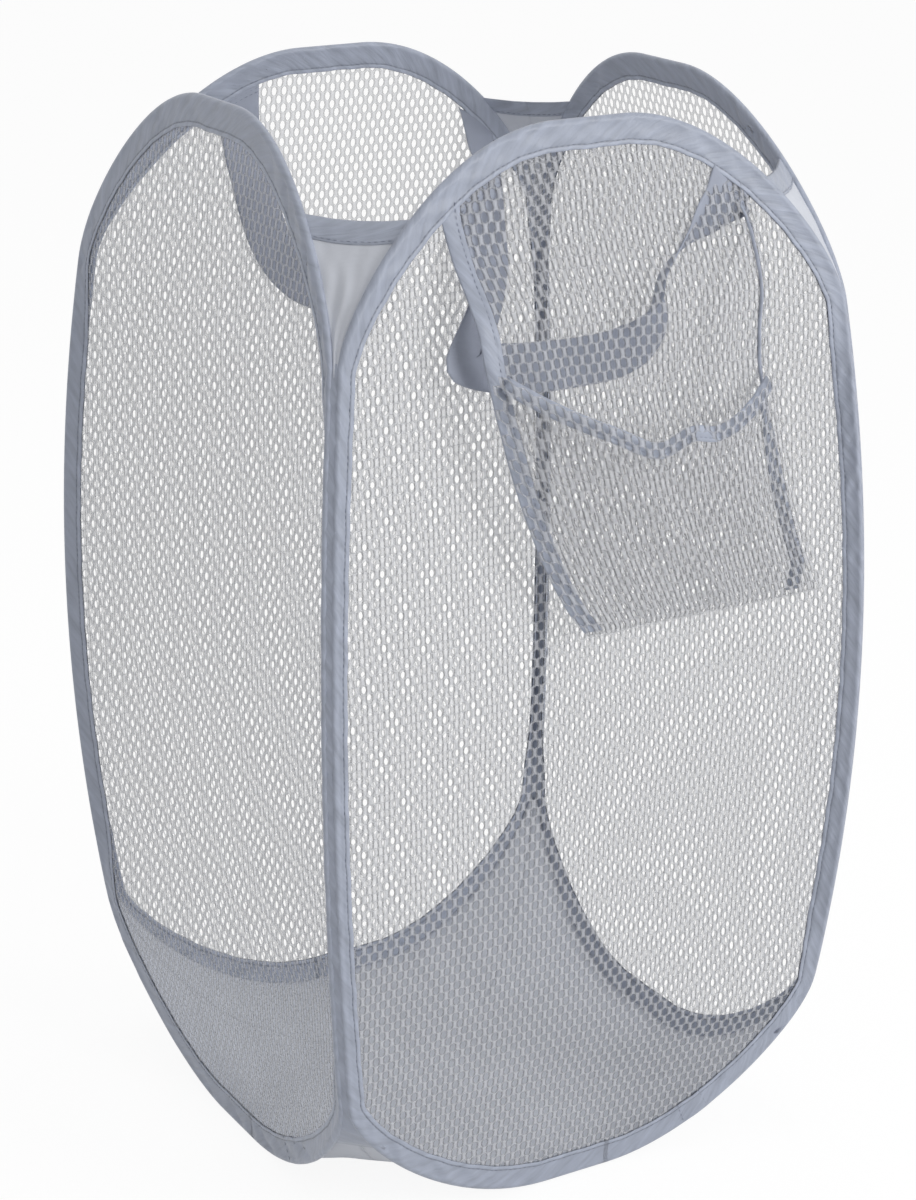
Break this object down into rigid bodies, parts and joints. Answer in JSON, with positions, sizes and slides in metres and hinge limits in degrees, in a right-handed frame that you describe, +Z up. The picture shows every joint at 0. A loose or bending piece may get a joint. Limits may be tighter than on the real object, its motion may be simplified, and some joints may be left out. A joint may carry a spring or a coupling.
{
  "type": "pop up laundry hamper",
  "caption": "Square pop up laundry hamper: bowed net panels in sprung wire hoops, cloth corner gussets and bottom, slack strap handles and a net side pocket.",
  "frame": {"origin": "on the floor, under the middle of the box that holds the hamper with its pocket", "axes": "+Z up; -Y is the front, where the pocket hangs; +X to the right seen from the front"},
  "size_m": [0.34, 0.383, 0.6],
  "materials": {
    "spring_steel": "bare drawn wire",
    "edging_tape": "blue-grey nylon tape with a satin sheen",
    "strap_webbing": "blue-grey woven tape",
    "mesh_net": "pale grey knitted net with small six-sided holes",
    "woven_cloth": "pale grey thin plain weave"
  },
  "bodies": {
    "front_panel": {"front_hoop_wire": "spring_steel", "front_wire_crimp": "spring_steel", "front_sleeve": "edging_tape", "front_net": "mesh_net", "front_left_gusset": "woven_cloth", "front_left_gusset_binding": "edging_tape", "front_right_gusset": "woven_cloth", "front_right_gusset_binding": "edging_tape", "bottom_cloth": "woven_cloth", "pocket_yoke_net": "mesh_net", "front_strap_end_left": "strap_webbing", "front_strap_end_right": "strap_webbing"},
    "left_panel": {"left_hoop_wire": "spring_steel", "left_wire_crimp": "spring_steel", "left_sleeve": "edging_tape", "left_net": "mesh_net", "back_left_gusset": "woven_cloth", "back_left_gusset_binding": "edging_tape"},
    "back_panel": {"back_hoop_wire": "spring_steel", "back_wire_crimp": "spring_steel", "back_sleeve": "edging_tape", "back_net": "mesh_net", "back_right_gusset": "woven_cloth", "back_right_gusset_binding": "edging_tape", "back_strap_end_left": "strap_webbing", "back_strap_end_right": "strap_webbing"},
    "right_panel": {"right_hoop_wire": "spring_steel", "right_wire_crimp": "spring_steel", "right_sleeve": "edging_tape", "right_net": "mesh_net"},
    "pocket": {"pocket_back_net": "mesh_net", "pocket_front_net": "mesh_net", "pocket_binding_left": "edging_tape", "pocket_binding_right": "edging_tape", "pocket_mouth_binding": "edging_tape"},
    "front_handle": {"front_handle_strap": "strap_webbing"},
    "back_handle": {"back_handle_strap": "strap_webbing"}
  },
  "joints": [
    {"name": "left_panel_fold", "type": "hinge", "parent": "front_panel", "child": "left_panel", "pos_m": [-0.149, -0.12748, 0.29], "axis": [0, 0, -1], "range_deg": [0, 70], "stiffness_Nm_per_rad": 0.4, "springref_deg": -8.59, "deforming": ["front_left_gusset", "front_left_gusset_binding", "bottom_cloth"]},
    {"name": "back_panel_fold", "type": "hinge", "parent": "left_panel", "child": "back_panel", "pos_m": [-0.168, 0.18952, 0.29], "axis": [0, 0, 1], "range_deg": [0, 70], "deforming": ["back_left_gusset", "back_left_gusset_binding"]},
    {"name": "right_panel_fold", "type": "hinge", "parent": "front_panel", "child": "right_panel", "pos_m": [0.168, -0.14648, 0.29], "axis": [0, 0, -1], "range_deg": [0, 70], "deforming": ["front_right_gusset", "front_right_gusset_binding", "back_right_gusset", "back_right_gusset_binding"]},
    {"name": "pocket_swing", "type": "hinge", "parent": "front_panel", "child": "pocket", "pos_m": [0, -0.1267, 0.552], "axis": [-1, 0, 0], "range_deg": [0, 80], "deforming": ["pocket_yoke_net"]},
    {"name": "front_handle_swing", "type": "hinge", "parent": "front_panel", "child": "front_handle", "pos_m": [0, -0.1267, 0.552], "axis": [-1, 0, 0], "range_deg": [0, 80]},
    {"name": "back_handle_swing", "type": "hinge", "parent": "back_panel", "child": "back_handle", "pos_m": [0, 0.16742, 0.544], "axis": [-1, 0, 0], "range_deg": [0, 165]}
  ],
  "couplings": [
    {"joint": "back_panel_fold", "follows": "left_panel_fold", "ratio": 1},
    {"joint": "right_panel_fold", "follows": "left_panel_fold", "ratio": 1},
    {"joint": "front_handle_swing", "follows": "pocket_swing", "ratio": 1}
  ]
}
